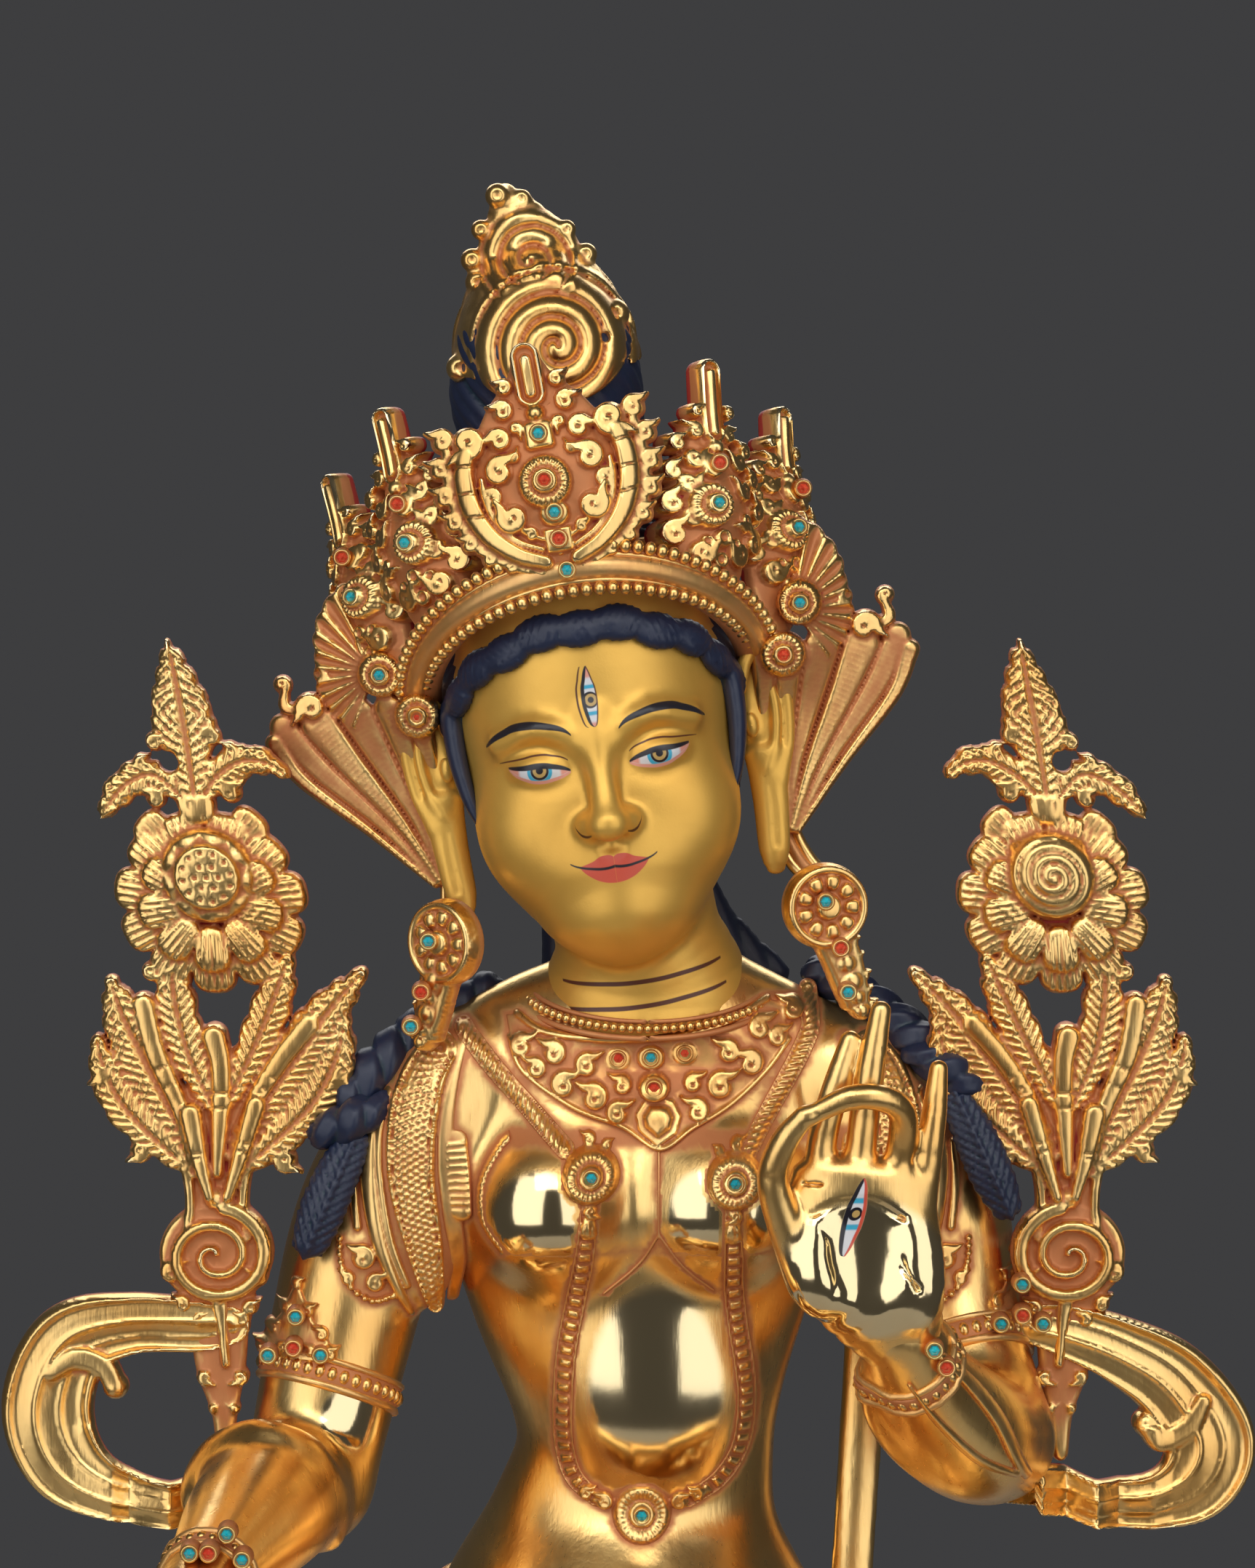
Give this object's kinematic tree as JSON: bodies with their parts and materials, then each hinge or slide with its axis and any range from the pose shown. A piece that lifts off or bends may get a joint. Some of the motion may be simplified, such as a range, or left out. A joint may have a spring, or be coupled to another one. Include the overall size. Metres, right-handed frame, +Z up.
{
  "type": "seated tara figure",
  "caption": "Seated gilt-metal Tara with raised and giving hands, leafed crown, lotus sprays and inset stones, on a lotus pedestal",
  "frame": {"origin": "on the table, under the middle of the pedestal's outline", "axes": "+Z up, the figure faces -Y, her right hand is at -X"},
  "size_m": [0.226, 0.168, 0.3401],
  "materials": {
    "gilt_metal": "burnished fire gilding, polished on the body and rings, with orange-red patina left in the recesses of the relief",
    "turquoise": "polished turquoise cabochon",
    "coral": "polished coral cabochon"
  },
  "bodies": {
    "root": {"lotus_base": "gilt_metal", "figure": "gilt_metal", "crown": "gilt_metal", "flower_spray_right": "gilt_metal", "flower_spray_left": "gilt_metal", "scarf_right": "gilt_metal", "scarf_left": "gilt_metal", "earring_right": "gilt_metal", "earring_left": "gilt_metal", "turquoise_1": "turquoise", "turquoise_2": "turquoise", "turquoise_3": "turquoise", "turquoise_4": "turquoise", "turquoise_5": "turquoise", "turquoise_6": "turquoise", "turquoise_7": "turquoise", "turquoise_8": "turquoise", "turquoise_9": "turquoise", "turquoise_10": "turquoise", "turquoise_11": "turquoise", "turquoise_12": "turquoise", "turquoise_13": "turquoise", "turquoise_14": "turquoise", "turquoise_15": "turquoise", "turquoise_16": "turquoise", "turquoise_17": "turquoise", "turquoise_18": "turquoise", "turquoise_19": "turquoise", "turquoise_20": "turquoise", "turquoise_21": "turquoise", "turquoise_22": "turquoise", "turquoise_23": "turquoise", "turquoise_24": "turquoise", "turquoise_25": "turquoise", "turquoise_26": "turquoise", "turquoise_27": "turquoise", "coral_1": "coral", "coral_2": "coral", "coral_3": "coral", "coral_4": "coral", "coral_5": "coral", "coral_6": "coral", "coral_7": "coral", "coral_8": "coral", "coral_9": "coral", "coral_10": "coral", "coral_11": "coral", "coral_12": "coral", "coral_13": "coral", "coral_14": "coral", "coral_15": "coral", "coral_16": "coral", "coral_17": "coral"}
  },
  "joints": []
}
